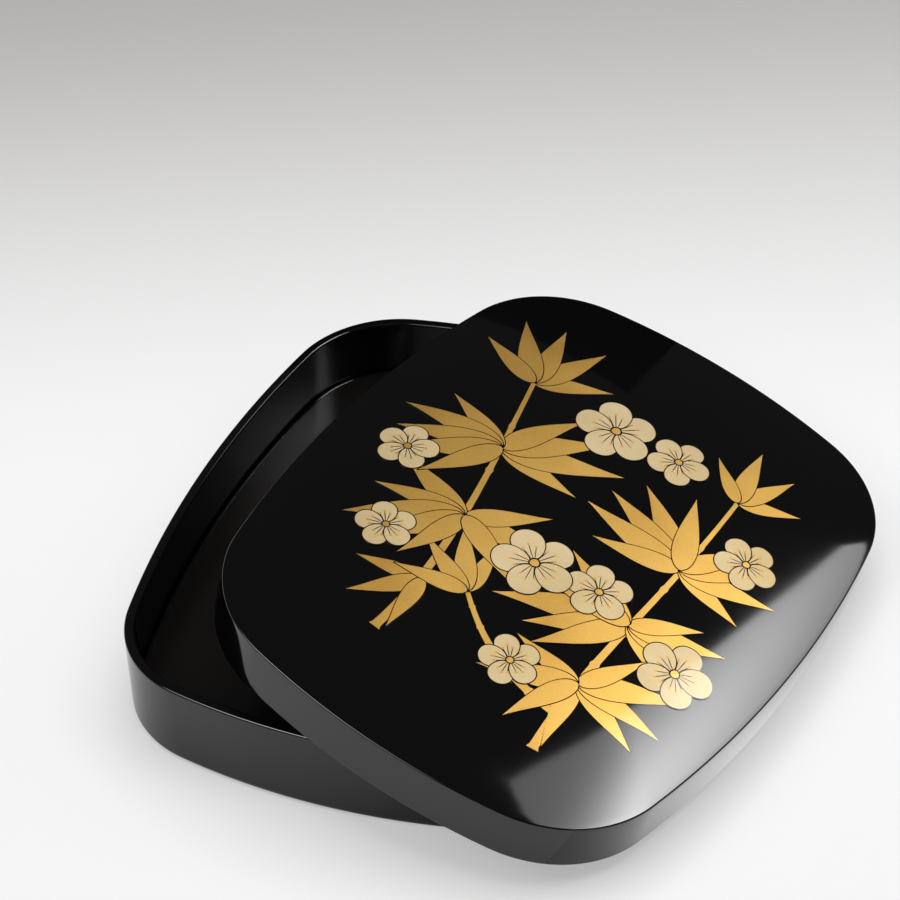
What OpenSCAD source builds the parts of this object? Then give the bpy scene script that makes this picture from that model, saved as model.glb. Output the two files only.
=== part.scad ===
// Lacquered writing box with a covering lid set askew on it. Millimetres, +Z up.
// Origin: middle of the box's underside. +X to the right, +Y away from the writer.
// Every outline is the same bowed rectangle: four shallow side arcs joined by corner arcs.

/* [Box] */
// Width of the box across the middle
box_width = 182; // [150:1:220]
// Length of the box along the middle
box_length = 236; // [200:1:280]
// Height of the box wall
box_height = 34; // [28:1:44]
// How far each long side bows outwards
side_bow = 16.5; // [10:0.5:20]
// How far each short side bows outwards
end_bow = 17; // [11:0.5:22]
// Radius of the corners in plan
corner_radius = 43.5; // [34:0.5:50]
// Thickness of the box wall
wall = 3.8; // [3:0.1:6]
// Radius of the wall's outer bottom edge
foot_round = 2.8; // [1:0.1:3]
// Radius of the wall's rim edges
rim_round = 1; // [0.4:0.1:1.4]
// Thickness of the fixed floor
floor_thick = 4; // [3:0.5:5]

/* [Lid] */
// Thickness of the lid's skirt
lid_wall = 3; // [2.4:0.1:4]
// Gap between skirt and box wall when the lid is on
lid_clearance = 1.5; // [0.8:0.1:2.5]
// Height of the lid's edge above the skirt's lower edge
skirt_depth = 20.4; // [14:0.2:26]
// Radius of the skirt's lower outer edge
skirt_round = 1; // [0.4:0.1:1.4]
// Rise of the crown above the lid's edge
crown_rise = 8; // [4:0.5:14]
// Thickness of the crown
crown_thick = 3; // [2.4:0.1:4]
// How full the crown is: 2 is an even dome, 4 is flat with steep margins
crown_fullness = 3; // [2:0.1:4]

/* [Lid resting askew] */
// Turn of the lid against the box, in degrees
lid_turn = -11.9; // [-16:0.1:-8]
// Shift of the lid to the right
lid_shift_x = 51.6; // [44:0.2:60]
// Shift of the lid along the box
lid_shift_y = -5.4; // [-12:0.2:4]
// Gap left where the lid touches the rim and the table
lid_rest_gap = 0.12; // [0.05:0.01:0.3]

/* [Base board] */
// Thickness of the loose base board
board_thick = 4; // [3:0.5:6]
// Gap between base board and box wall
board_gap = 0.6; // [0.4:0.1:1]
// Height of the battens under the base board
batten_height = 2.6; // [2:0.2:4]
// Width of the battens
batten_width = 9; // [6:1:14]
// Length of the battens
batten_length = 118; // [90:1:130]
// Distance of the battens' middles from the widest point of the box
batten_inset = 30; // [22:1:36]
// Gap around whatever stands in the board's cut-outs
cutout_gap = 1; // [0.5:0.1:1.5]

/* [Inkstone] */
// Width of the inkstone
stone_width = 62; // [50:1:66]
// Length of the inkstone
stone_length = 116; // [96:1:120]
// Height of the inkstone
stone_height = 16; // [13:0.5:18]
// Place of the inkstone's middle across the box
stone_x = -6; // [-10:1:-4]
// Place of the inkstone's middle along the box
stone_y = 17; // [12:1:20]
// Width of the raised border
stone_border = 4; // [3:0.5:6]
// Depth of the grinding face below the border
stone_sink = 1.6; // [1:0.1:2.5]
// Depth of the well below the border
well_depth = 9; // [6:0.5:10]
// Length of the level bottom of the well
well_length = 14; // [8:1:20]
// Length of the slope from the grinding face to the well
slope_length = 24; // [16:1:30]
// Corner radius of the inkstone
stone_round = 5; // [3:0.5:8]

/* [Water dropper] */
// Width of the water dropper
dropper_width = 40; // [30:1:46]
// Depth of the water dropper
dropper_depth = 22; // [18:1:24]
// Height of the water dropper's walls
dropper_height = 13; // [10:0.5:16]
// Wall of the water dropper
dropper_wall = 1.2; // [0.8:0.1:2]
// Corner radius of the water dropper
dropper_round = 5; // [3:0.5:8]
// Distance from the inkstone to the water dropper
dropper_space = 8; // [5:0.5:10]
// Radius of the pouring hole
pour_radius = 1.6; // [1:0.1:1.9]
// Radius of the air hole
air_radius = 1.2; // [0.8:0.1:1.9]
// Height of the collar round the pouring hole
pour_collar = 1.4; // [0.8:0.1:2]
// Thickness of the collar round the pouring hole
collar_wall = 1.1; // [0.8:0.1:1.6]

/* [Brushes] */
// Place of the wide brush across the box
brush_x = 44; // [40:1:48]
// Distance between the two brushes
brush_pitch = 17; // [15:1:19]
// Radius of the wide brush's handle
wide_radius = 4.2; // [3.4:0.1:5]
// Length of the wide brush's handle
wide_handle = 142; // [120:1:150]
// Length of the wide brush's hair
wide_hair = 34; // [24:1:38]
// Radius of the fine brush's handle
fine_radius = 3; // [2.4:0.1:3.4]
// Length of the fine brush's handle
fine_handle = 132; // [110:1:140]
// Length of the fine brush's hair
fine_hair = 24; // [16:1:30]
// Length of the collar that holds the hair
collar_length = 11; // [8:1:14]
// How far the collar stands out round the handle
collar_proud = 0.7; // [0.4:0.1:1]
// Bore of the bamboo at the handle's top end
bamboo_bore = 1.4; // [0.8:0.1:1.8]
// Depth of the bamboo's bore
bore_depth = 12; // [6:1:20]
// Height of the brush rests above the base board
rest_height = 8; // [6:0.5:10]
// Thickness of the brush rests
rest_thick = 7; // [5:0.5:10]
// Distance from the handles' top ends to the middle of the front rest
rest_inset = 23; // [16:1:34]
// Distance from the middle of the back rest to the nearer collar
rest_behind = 9; // [6:1:24]
// Wood left beside the outer notches of a brush rest
rest_margin = 4; // [3:0.5:6]
// Gap between a brush and its notch
notch_gap = 0.3; // [0.2:0.05:0.5]

/* [Ink stick] */
// Length of the ink stick
stick_length = 70; // [50:1:76]
// Width of the ink stick
stick_width = 15; // [10:0.5:18]
// Thickness of the ink stick
stick_thick = 8; // [6:0.5:10]
// Radius of the ink stick's edges in plan
stick_round = 2; // [1:0.5:4]
// Distance from the inkstone to the ink stick
stick_space = 10; // [6:1:14]

/* [Hidden] */
$fn = 180;

lacquer = [0.07, 0.07, 0.075];
lacquer_inside = [0.10, 0.095, 0.09];
slate = [0.22, 0.23, 0.25];
bronze = [0.52, 0.36, 0.22];
bamboo = [0.80, 0.66, 0.40];
horn = [0.16, 0.12, 0.10];
hair = [0.93, 0.90, 0.82];
soot = [0.12, 0.12, 0.13];

half_w = box_width / 2;
half_l = box_length / 2;

// The four side arcs: radii and the centres of the right and the far one.
side_r = (half_l * half_l + side_bow * side_bow) / (2 * side_bow);
end_r = (half_w * half_w + end_bow * end_bow) / (2 * end_bow);
side_c = [half_w - side_r, 0];
end_c = [0, half_l - end_r];

// The corner arc touches both side arcs from inside, so its centre lies where two circles meet.
function meet(c1, r1, c2, r2) =
    let (d = norm(c2 - c1), u = (c2 - c1) / d, s = (r1 * r1 - r2 * r2 + d * d) / (2 * d),
         h = sqrt(r1 * r1 - s * s))
    c1 + s * u + h * [-u[1], u[0]];
corner_try = meet(side_c, side_r - corner_radius, end_c, end_r - corner_radius);
corner_alt = meet(end_c, end_r - corner_radius, side_c, side_r - corner_radius);
corner_c = corner_try[0] + corner_try[1] > corner_alt[0] + corner_alt[1] ? corner_try : corner_alt;

// Directions in which the side arc hands over to the corner arc, and that to the end arc.
side_angle = atan2(corner_c[1] - side_c[1], corner_c[0] - side_c[0]);
end_angle = atan2(corner_c[1] - end_c[1], corner_c[0] - end_c[0]);

// Distance of a point outside the outline that lies `grow` outside the box; negative is inside.
function beyond(p, grow) =
    let (q = [abs(p[0]), abs(p[1])], s = q - side_c, e = q - end_c)
    atan2(s[1], s[0]) < side_angle ? norm(s) - side_r - grow :
    atan2(e[1], e[0]) > end_angle ? norm(e) - end_r - grow :
    norm(q - corner_c) - corner_radius - grow;

// Points along the outline, `grow` outside the box wall.
function arc_points(c, r, from, to, count) =
    [for (i = [0 : count - 1])
        let (t = from + (to - from) * i / count) [c[0] + r * cos(t), c[1] + r * sin(t)]];
function outline_points(grow, side_n, corner_n, end_n) =
    let (cx = corner_c[0], cy = corner_c[1], cr = corner_radius + grow)
    concat(
        arc_points(side_c, side_r + grow, -side_angle, side_angle, side_n),
        arc_points([cx, cy], cr, side_angle, end_angle, corner_n),
        arc_points(end_c, end_r + grow, end_angle, 180 - end_angle, end_n),
        arc_points([-cx, cy], cr, 180 - end_angle, 180 - side_angle, corner_n),
        arc_points(-side_c, side_r + grow, 180 - side_angle, 180 + side_angle, side_n),
        arc_points([-cx, -cy], cr, 180 + side_angle, 180 + end_angle, corner_n),
        arc_points(-end_c, end_r + grow, 180 + end_angle, 360 - end_angle, end_n),
        arc_points([cx, -cy], cr, 360 - end_angle, 360 - side_angle, corner_n));

// The points that walls, floor and crown share, so that their faces meet: so many along each
// side, corner and end.
side_steps = 10;
corner_steps = 12;
end_steps = 8;
function rim_points(grow) = outline_points(grow, side_steps, corner_steps, end_steps);

// How far the outline reaches from its middle in one direction.
function reach(angle, grow) =
    let (t = atan2(abs(sin(angle)), abs(cos(angle))), u = [cos(t), sin(t)])
    (t < side_angle ? side_c * u + side_r : t > end_angle ? end_c * u + end_r
                                         : corner_c * u + corner_radius) + grow;

lid_grow = lid_clearance + lid_wall;
skirt_top = skirt_depth - crown_thick;
rim_level = box_height + lid_rest_gap;

// The lid leans on the two places where its skirt's inner lower edge crosses the box's outline.
function turned(p) =
    [p[0] * cos(lid_turn) - p[1] * sin(lid_turn) + lid_shift_x,
     p[0] * sin(lid_turn) + p[1] * cos(lid_turn) + lid_shift_y];
fine_steps = 60;
skirt_edge = [for (p = outline_points(lid_clearance, fine_steps, fine_steps, fine_steps))
    turned(p)];
crossings = [for (i = [0 : len(skirt_edge) - 1])
    let (p = skirt_edge[i], q = skirt_edge[(i + 1) % len(skirt_edge)],
         a = beyond(p, 0), b = beyond(q, 0))
    if (a * b < 0) p + (q - p) * a / (a - b)];
far_first = crossings[0][1] > crossings[1][1];
lean_far = far_first ? crossings[0] : crossings[1];
lean_near = far_first ? crossings[1] : crossings[0];

// From there it tips about the line between them until its skirt reaches the table.
lean_along = (lean_far - lean_near) / norm(lean_far - lean_near);
lean_down = [lean_along[1], -lean_along[0]];
lean_run = ([lid_shift_x, lid_shift_y] - lean_near) * lean_down
    + reach(atan2(lean_down[1], lean_down[0]) - lid_turn, lid_grow);
lean_tilt = asin(box_height / lean_run);

board_z = floor_thick + batten_height;
board_top = board_z + board_thick;
batten_x = half_w - batten_inset;
dropper_y = stone_y + stone_length / 2 + dropper_space + dropper_depth / 2;
stick_y = stone_y - stone_length / 2 - stick_space - stick_width / 2;

// Stone: what is cut out inside its border.
bed_width = stone_width - 2 * stone_border;
bed_length = stone_length - 2 * stone_border;
bed_round = max(stone_round - stone_border, 1);
bed_level = stone_height - stone_sink;
well_level = stone_height - well_depth;

// Brushes: both lie with their handles' ends on one line and their axes at the rests' tops.
// The collar grips the handle over the length of its socket.
socket = 4;
brush_z = board_top + rest_height;
brush_start = -(wide_handle + collar_length - socket + wide_hair) / 2;
fine_x = brush_x + brush_pitch;
front_rest_y = brush_start + rest_inset;
back_rest_y = brush_start + min(wide_handle, fine_handle) - socket - rest_behind;
rest_from = brush_x - wide_radius - notch_gap - rest_margin;
rest_to = fine_x + fine_radius + notch_gap + rest_margin;

// The outline as a flat shape, `grow` outside the box wall, or inside it where grow is negative.
module outline(grow) {
    wedge = 3 * corner_radius;
    difference() {
        intersection() {
            for_both_sides(side_c, side_r + grow);
            for_both_sides(end_c, end_r + grow);
        }
        for (x = [-1, 1], y = [-1, 1])
            polygon([for (step = [[0, 0], [cos(side_angle), sin(side_angle)], [1, 1],
                                  [cos(end_angle), sin(end_angle)]])
                [x * (corner_c[0] + wedge * step[0]), y * (corner_c[1] + wedge * step[1])]]);
    }
    for (x = [-1, 1], y = [-1, 1])
        translate([x * corner_c[0], y * corner_c[1]]) circle(corner_radius + grow);
}

// What two mirrored circles share.
module for_both_sides(c, r) {
    $fn = 720;
    intersection() {
        translate(c) circle(r);
        translate(-c) circle(r);
    }
}

module rounded_rect(w, l, r) {
    square([w - 2 * r, l], center = true);
    square([w, l - 2 * r], center = true);
    for (x = [-1, 1], y = [-1, 1]) translate([x * (w / 2 - r), y * (l / 2 - r)]) circle(r);
}

// Section of an upright wall as points [grow, z]: `foot` rounds its outer lower edge, `in_foot`
// its inner lower edge and `rim` both its upper edges, each in so many steps.
section_steps = 3;
function round_points(c, r, from, to) =
    r == 0 ? [c] : [for (i = [0 : section_steps])
        let (t = from + (to - from) * i / section_steps) c + r * [cos(t), sin(t)]];
function wall_section(thick, from, to, foot, in_foot, rim) = concat(
    round_points([-foot, from + foot], foot, -90, 0),
    round_points([-rim, to - rim], rim, 0, 90),
    round_points([rim - thick, to - rim], rim, 90, 180),
    round_points([in_foot - thick, from + in_foot], in_foot, 180, 270));
function section_rings(section, grow) =
    [for (p = section) [for (q = rim_points(grow + p[0])) [q[0], q[1], p[1]]]];

// Surface through a list of rings with equal numbers of points: closed round on itself, or flat
// at both ends.
module loft(rings, closed) {
    n = len(rings[0]);
    count = len(rings);
    strips = [for (k = [0 : count - (closed ? 1 : 2)], j = [0 : n - 1])
        let (a = k * n, b = (k + 1) % count * n, next = (j + 1) % n)
        each [[a + j, b + j, a + next], [a + next, b + j, b + next]]];
    ends = [[for (j = [0 : n - 1]) j], [for (j = [0 : n - 1]) count * n - 1 - j]];
    polyhedron(points = [for (ring = rings) each ring],
               faces = closed ? strips : concat(strips, ends));
}

module box_wall() {
    section = wall_section(wall, 0, box_height, foot_round, 0, rim_round);
    color(lacquer) loft(section_rings(section, 0), closed = true);
}

module box_floor() {
    color(lacquer_inside) linear_extrude(floor_thick) polygon(rim_points(-wall));
}

module board_batten(x) {
    color(lacquer_inside) translate([x - batten_width / 2, -batten_length / 2, floor_thick])
        cube([batten_width, batten_length, batten_height]);
}
module board_batten_left() { board_batten(-batten_x); }
module board_batten_right() { board_batten(batten_x); }

// Loose board that covers the floor; stone and dropper stand on the floor in its cut-outs.
module base_board() {
    color(lacquer_inside) translate([0, 0, board_z]) linear_extrude(board_thick)
        difference() {
            outline(-wall - board_gap);
            translate([stone_x, stone_y])
                rounded_rect(stone_width + 2 * cutout_gap, stone_length + 2 * cutout_gap,
                             stone_round + cutout_gap);
            translate([stone_x, dropper_y])
                rounded_rect(dropper_width + 2 * cutout_gap, dropper_depth + 2 * cutout_gap,
                             dropper_round + cutout_gap);
        }
}

// Level grinding face inside a raised border, sloping down to a well at the far end.
module inkstone() {
    well_end = bed_length / 2;
    slope_end = well_end - well_length;
    slope_start = slope_end - slope_length;
    color(slate) translate([stone_x, stone_y, floor_thick]) difference() {
        linear_extrude(stone_height) rounded_rect(stone_width, stone_length, stone_round);
        translate([0, 0, bed_level]) linear_extrude(stone_height)
            rounded_rect(bed_width, bed_length, bed_round);
        intersection() {
            translate([0, 0, well_level]) linear_extrude(stone_height)
                rounded_rect(bed_width, bed_length, bed_round);
            rotate([90, 0, 90]) linear_extrude(stone_width, center = true)
                polygon([[slope_start, bed_level], [slope_end, well_level],
                         [well_end + 1, well_level], [well_end + 1, 2 * stone_height],
                         [slope_start, 2 * stone_height]]);
        }
    }
}

module dropper_cup() {
    color(bronze) translate([stone_x, dropper_y, floor_thick]) difference() {
        linear_extrude(dropper_height) rounded_rect(dropper_width, dropper_depth, dropper_round);
        translate([0, 0, dropper_wall]) linear_extrude(dropper_height)
            rounded_rect(dropper_width - 2 * dropper_wall, dropper_depth - 2 * dropper_wall,
                         dropper_round - dropper_wall);
    }
}

// Top plate with a collared pouring hole in one corner and an air hole in the middle.
module dropper_top() {
    inset = dropper_round + dropper_wall;
    pour = [dropper_width / 2 - inset, inset - dropper_depth / 2];
    color(bronze) translate([stone_x, dropper_y, floor_thick + dropper_height]) difference() {
        union() {
            linear_extrude(dropper_wall)
                rounded_rect(dropper_width, dropper_depth, dropper_round);
            translate(pour) cylinder(dropper_wall + pour_collar, r = pour_radius + collar_wall);
        }
        translate([pour[0], pour[1], -1])
            cylinder(dropper_wall + pour_collar + 2, r = pour_radius);
        translate([0, 0, -1]) cylinder(dropper_wall + 2, r = air_radius);
    }
}

// Bar with a half-round notch for each brush.
module brush_rest(y) {
    color(lacquer_inside) difference() {
        translate([rest_from, y - rest_thick / 2, board_top])
            cube([rest_to - rest_from, rest_thick, rest_height]);
        for (notch = [[brush_x, wide_radius], [fine_x, fine_radius]])
            translate([notch[0], y + rest_thick, brush_z]) rotate([90, 0, 0])
                cylinder(2 * rest_thick, r = notch[1] + notch_gap);
    }
}
module brush_rest_front() { brush_rest(front_rest_y); }
module brush_rest_back() { brush_rest(back_rest_y); }

// Places a brush lying along the box; its axis is the child's Z axis, from the handle's end.
module brush_place(x) {
    translate([x, brush_start, brush_z]) rotate([-90, 0, 0]) children();
}
module brush_handle(x, r, length) {
    color(bamboo) brush_place(x) difference() {
        cylinder(length, r = r);
        translate([0, 0, -1]) cylinder(bore_depth + 1, r = bamboo_bore);
    }
}
module brush_collar(x, r, length) {
    color(horn) brush_place(x) translate([0, 0, length - socket]) difference() {
        cylinder(collar_length, r = r + collar_proud);
        translate([0, 0, -1]) cylinder(socket + 1, r = r);
    }
}

// Hair swells from the collar in a full curve and runs to a point.
module brush_hair(x, r, length, hair_length) {
    steps = 8;
    color(hair) brush_place(x) translate([0, 0, length - socket + collar_length])
        rotate_extrude($fn = 48) polygon(concat([[0, 0]],
            [for (i = [0 : steps]) [r * (1 - pow(i / steps, 2)), hair_length * i / steps]]));
}
module wide_brush_handle() { brush_handle(brush_x, wide_radius, wide_handle); }
module wide_brush_collar() { brush_collar(brush_x, wide_radius, wide_handle); }
module wide_brush_hair() { brush_hair(brush_x, wide_radius, wide_handle, wide_hair); }
module fine_brush_handle() { brush_handle(fine_x, fine_radius, fine_handle); }
module fine_brush_collar() { brush_collar(fine_x, fine_radius, fine_handle); }
module fine_brush_hair() { brush_hair(fine_x, fine_radius, fine_handle, fine_hair); }

module ink_stick() {
    color(soot) translate([stone_x, stick_y, board_top]) linear_extrude(stick_thick)
        rounded_rect(stick_length, stick_width, stick_round);
}

// Puts the lid, drawn level about its own middle, into its leaning place.
module leaning() {
    translate([lean_near[0], lean_near[1], rim_level])
        rotate(a = lean_tilt, v = [lean_along[0], lean_along[1], 0])
            translate([lid_shift_x - lean_near[0], lid_shift_y - lean_near[1], 0])
                rotate(lid_turn) children();
}

module lid_skirt() {
    section = wall_section(lid_wall, 0, skirt_top, skirt_round, skirt_round, 0);
    color(lacquer) leaning() loft(section_rings(section, lid_grow), closed = true);
}

// Domed board whose edge is flush with the skirt: rings of the outline shrink towards the middle.
module lid_crown() {
    ring_count = 9;
    shares = [for (i = [0 : ring_count - 1]) cos(90 * i / ring_count)];
    function ring(grow, share, z) =
        [for (p = rim_points(grow)) [p[0] * share, p[1] * share, z]];
    function crown_z(share) = skirt_depth + crown_rise * (1 - pow(share, crown_fullness));
    underside = [for (i = [ring_count - 1 : -1 : 0])
        ring(lid_clearance, shares[i], crown_z(shares[i]) - crown_thick)];
    top = [for (share = shares) ring(lid_grow, share, crown_z(share))];
    color(lacquer) leaning()
        loft(concat(underside, [ring(lid_grow, 1, skirt_top)], top), closed = false);
}

box_wall();
box_floor();
board_batten_left();
board_batten_right();
base_board();
inkstone();
dropper_cup();
dropper_top();
brush_rest_front();
brush_rest_back();
wide_brush_handle();
wide_brush_collar();
wide_brush_hair();
fine_brush_handle();
fine_brush_collar();
fine_brush_hair();
ink_stick();
lid_skirt();
lid_crown();
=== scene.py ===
"""Lacquered writing box with its lid set askew, dressed for a studio photograph.

Shapes are drawn in millimetres and turned to metres when they are placed. The outline of box and
lid is one bowed rectangle of eight arcs, and the lid's leaning place follows from where it rests.
"""

from __future__ import annotations

import logging
import math
from collections.abc import Callable, Iterable
from dataclasses import dataclass, field
from enum import Enum

import bmesh
import bpy
from mathutils import Matrix, Vector

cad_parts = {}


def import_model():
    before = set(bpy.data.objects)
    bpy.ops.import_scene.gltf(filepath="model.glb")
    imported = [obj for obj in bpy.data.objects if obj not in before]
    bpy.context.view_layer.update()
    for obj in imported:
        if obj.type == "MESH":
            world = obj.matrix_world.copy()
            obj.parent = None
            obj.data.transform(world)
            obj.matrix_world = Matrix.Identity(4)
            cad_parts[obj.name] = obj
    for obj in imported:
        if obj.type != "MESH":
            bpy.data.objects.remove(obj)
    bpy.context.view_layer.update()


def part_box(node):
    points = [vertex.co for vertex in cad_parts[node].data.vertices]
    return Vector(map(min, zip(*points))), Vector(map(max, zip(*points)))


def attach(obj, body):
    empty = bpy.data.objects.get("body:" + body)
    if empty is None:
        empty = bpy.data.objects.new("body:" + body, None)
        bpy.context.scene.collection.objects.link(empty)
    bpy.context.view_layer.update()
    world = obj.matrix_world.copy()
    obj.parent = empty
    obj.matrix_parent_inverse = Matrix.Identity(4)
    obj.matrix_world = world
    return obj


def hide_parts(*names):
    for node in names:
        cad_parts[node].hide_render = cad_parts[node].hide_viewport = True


LOG = logging.getLogger("writing_box")

MM = 0.001

# Points closer than the gap, in millimetres, are one. Faces that meet at more than the sharp angle
# make an edge, and at less than the flat one they are one face.
MERGE_GAP = 0.004
SHARP_ANGLE = math.radians(40)
FLAT_ANGLE = math.radians(0.6)

# A colour mix's sockets: its share, the colour at 0, the colour at 1, and the result.
SHARE, COLOUR_0, COLOUR_1, MIXED = 0, 6, 7, 2

# Turns two values from -1 to 1 into a place across, up and above the lacquer.
Shape = Callable[[float, float], tuple[float, float, float]]


# ---------------------------------------------------------------- finishes


def linear(hex_colour: str) -> tuple[float, float, float, float]:
    """Turns a colour as it is seen into the linear one that shaders take.

    Args:
        hex_colour: An sRGB colour such as "#c8a050".

    Returns:
        Linear red, green and blue, and an alpha of 1.
    """
    seen = [int(hex_colour[i : i + 2], 16) / 255 for i in (1, 3, 5)]
    red, green, blue = [v / 12.92 if v <= 0.04045 else ((v + 0.055) / 1.055) ** 2.4 for v in seen]
    return red, green, blue, 1.0


def add(
    tree: bpy.types.NodeTree, kind: str, feeds: dict | None = None, **settings: object,
) -> bpy.types.Node:
    """Adds a node, sets what it is told and links what feeds it.

    Args:
        tree: The material's or world's node tree.
        kind: The node's type name.
        feeds: Input name or number to a value, or to the output socket that feeds it.
        **settings: Properties of the node itself.

    Returns:
        The new node.
    """
    node = tree.nodes.new(kind)
    for name, value in settings.items():
        setattr(node, name, value)
    for name, value in (feeds or {}).items():
        if isinstance(value, bpy.types.NodeSocket):
            tree.links.new(value, node.inputs[name])
        else:
            node.inputs[name].default_value = value
    return node


def per_metre(size_mm: float) -> float:
    """Scale of a pattern whose features are so many millimetres across."""
    return 1 / (size_mm * MM)


@dataclass(frozen=True)
class Finish:
    """A surface finish; each kind says how its colour, roughness and relief are made."""

    name: str

    def build(self) -> bpy.types.Material:
        """Makes the material.

        Returns:
            The finished material.
        """
        material = bpy.data.materials.new(self.name)
        material.use_nodes = True
        tree = material.node_tree
        tree.nodes.clear()
        shader = self.shade(tree, add(tree, "ShaderNodeTexCoord").outputs["Object"])
        add(tree, "ShaderNodeOutputMaterial", {"Surface": shader.outputs[0]})
        return material

    def shade(self, tree: bpy.types.NodeTree, place: bpy.types.NodeSocket) -> bpy.types.Node:
        """Makes the nodes up to the surface shader, which it returns."""
        raise NotImplementedError


@dataclass(frozen=True)
class PolishedLacquer(Finish):
    """Black urushi, ground flat with charcoal and polished by hand with oil and powder.

    It mirrors like glass. The hand polish leaves the face very slightly uneven, so the edges of
    reflections wander, and some patches are a trace less sharp. The sharpest and the haziest patch
    are given as shares of the roughness.
    """

    colour: str = "#070708"
    warm_colour: str = "#0b0a0a"
    roughness: float = 0.07
    sharpest: float = 0.8
    haziest: float = 1.3
    ior: float = 1.5
    swell_mm: float = 34.0
    haze_mm: float = 55.0
    relief_mm: float = 0.045

    def shade(self, tree: bpy.types.NodeTree, place: bpy.types.NodeSocket) -> bpy.types.Node:
        """Makes near-black gloss with a wandering relief and patches of haze.

        Args:
            tree: The material's node tree.
            place: Where a point lies on the box, in metres.

        Returns:
            The surface shader.
        """
        haze = add(tree, "ShaderNodeTexNoise", {
            "Vector": place, "Scale": per_metre(self.haze_mm), "Detail": 3.0})
        tint = add(tree, "ShaderNodeMix", {
            SHARE: haze.outputs["Fac"], COLOUR_0: linear(self.colour),
            COLOUR_1: linear(self.warm_colour)}, data_type="RGBA")
        gloss = add(tree, "ShaderNodeMapRange", {
            "Value": haze.outputs["Fac"], "From Min": 0.35, "From Max": 0.7,
            "To Min": self.roughness * self.sharpest, "To Max": self.roughness * self.haziest})
        swell = add(tree, "ShaderNodeTexNoise", {
            "Vector": place, "Scale": per_metre(self.swell_mm), "Detail": 0.0})
        relief = add(tree, "ShaderNodeBump", {
            "Height": swell.outputs["Fac"], "Strength": 1.0, "Distance": self.relief_mm * MM})
        return add(tree, "ShaderNodeBsdfPrincipled", {
            "Base Color": tint.outputs[MIXED], "Roughness": gloss.outputs["Result"],
            "IOR": self.ior, "Normal": relief.outputs["Normal"]})


@dataclass(frozen=True)
class SprinkledPowder(Finish):
    """Maki-e: metal or shell powder sprinkled on wet lacquer, lacquered over and burnished.

    The grains are a tenth of a millimetre across, drawn at three times that so that they show. The
    powder shines softly under a thin coat of clear lacquer that mirrors as the black does. Where
    it lies thin, the dark ground deepens its colour.
    """

    colour: str = "#d8ae5a"
    thin_colour: str = "#ba8d3d"
    metallic: float = 0.85
    roughness: float = 0.5
    coat: float = 0.55
    coat_roughness: float = 0.07
    grain_mm: float = 0.3
    grain_relief_mm: float = 0.04
    cloud_mm: float = 38.0

    def shade(self, tree: bpy.types.NodeTree, place: bpy.types.NodeSocket) -> bpy.types.Node:
        """Makes a soft shine of fine grains whose density changes slowly.

        Args:
            tree: The material's node tree.
            place: Where a point lies on the box, in metres.

        Returns:
            The surface shader.
        """
        cloud = add(tree, "ShaderNodeTexNoise", {
            "Vector": place, "Scale": per_metre(self.cloud_mm), "Detail": 2.0})
        grain = add(tree, "ShaderNodeTexVoronoi", {"Vector": place, "Scale": per_metre(self.grain_mm)})
        thin = add(tree, "ShaderNodeMath", {
            0: grain.outputs["Distance"], 1: 0.5, 2: cloud.outputs["Fac"]}, operation="MULTIPLY_ADD")
        share = add(tree, "ShaderNodeMapRange", {
            "Value": thin.outputs["Value"], "From Min": 0.5, "From Max": 1.15})
        tint = add(tree, "ShaderNodeMix", {
            SHARE: share.outputs["Result"], COLOUR_0: linear(self.colour),
            COLOUR_1: linear(self.thin_colour)}, data_type="RGBA")
        relief = add(tree, "ShaderNodeBump", {
            "Height": grain.outputs["Distance"], "Strength": 0.25,
            "Distance": self.grain_relief_mm * MM})
        return add(tree, "ShaderNodeBsdfPrincipled", {
            "Base Color": tint.outputs[MIXED], "Metallic": self.metallic,
            "Roughness": self.roughness, "Coat Weight": self.coat,
            "Coat Roughness": self.coat_roughness, "Normal": relief.outputs["Normal"]})


@dataclass(frozen=True)
class HonedStone(Finish):
    """Slate, sawn and honed with fine grit: a dull blue-black with thin bedding streaks."""

    colour: str = "#2b2d31"
    streak_colour: str = "#3b3e44"
    roughness: float = 0.55
    streak_mm: float = 9.0
    bedding: tuple[float, float, float] = (1.0, 0.35, 3.0)
    grit_mm: float = 0.5
    grit_relief_mm: float = 0.06

    def shade(self, tree: bpy.types.NodeTree, place: bpy.types.NodeSocket) -> bpy.types.Node:
        """Makes flattened cloudy bedding and a fine grit.

        Args:
            tree: The material's node tree.
            place: Where a point lies on the box, in metres.

        Returns:
            The surface shader.
        """
        bedded = add(tree, "ShaderNodeMapping", {"Vector": place, "Scale": self.bedding})
        streak = add(tree, "ShaderNodeTexNoise", {
            "Vector": bedded.outputs["Vector"], "Scale": per_metre(self.streak_mm), "Detail": 5.0})
        grit = add(tree, "ShaderNodeTexNoise", {
            "Vector": place, "Scale": per_metre(self.grit_mm), "Detail": 2.0})
        relief = add(tree, "ShaderNodeBump", {
            "Height": grit.outputs["Fac"], "Strength": 0.4, "Distance": self.grit_relief_mm * MM})
        share = add(tree, "ShaderNodeMapRange", {
            "Value": streak.outputs["Fac"], "From Min": 0.4, "From Max": 0.75})
        tint = add(tree, "ShaderNodeMix", {
            SHARE: share.outputs["Result"], COLOUR_0: linear(self.colour),
            COLOUR_1: linear(self.streak_colour)}, data_type="RGBA")
        return add(tree, "ShaderNodeBsdfPrincipled", {
            "Base Color": tint.outputs[MIXED], "Roughness": self.roughness,
            "Normal": relief.outputs["Normal"]})


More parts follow.
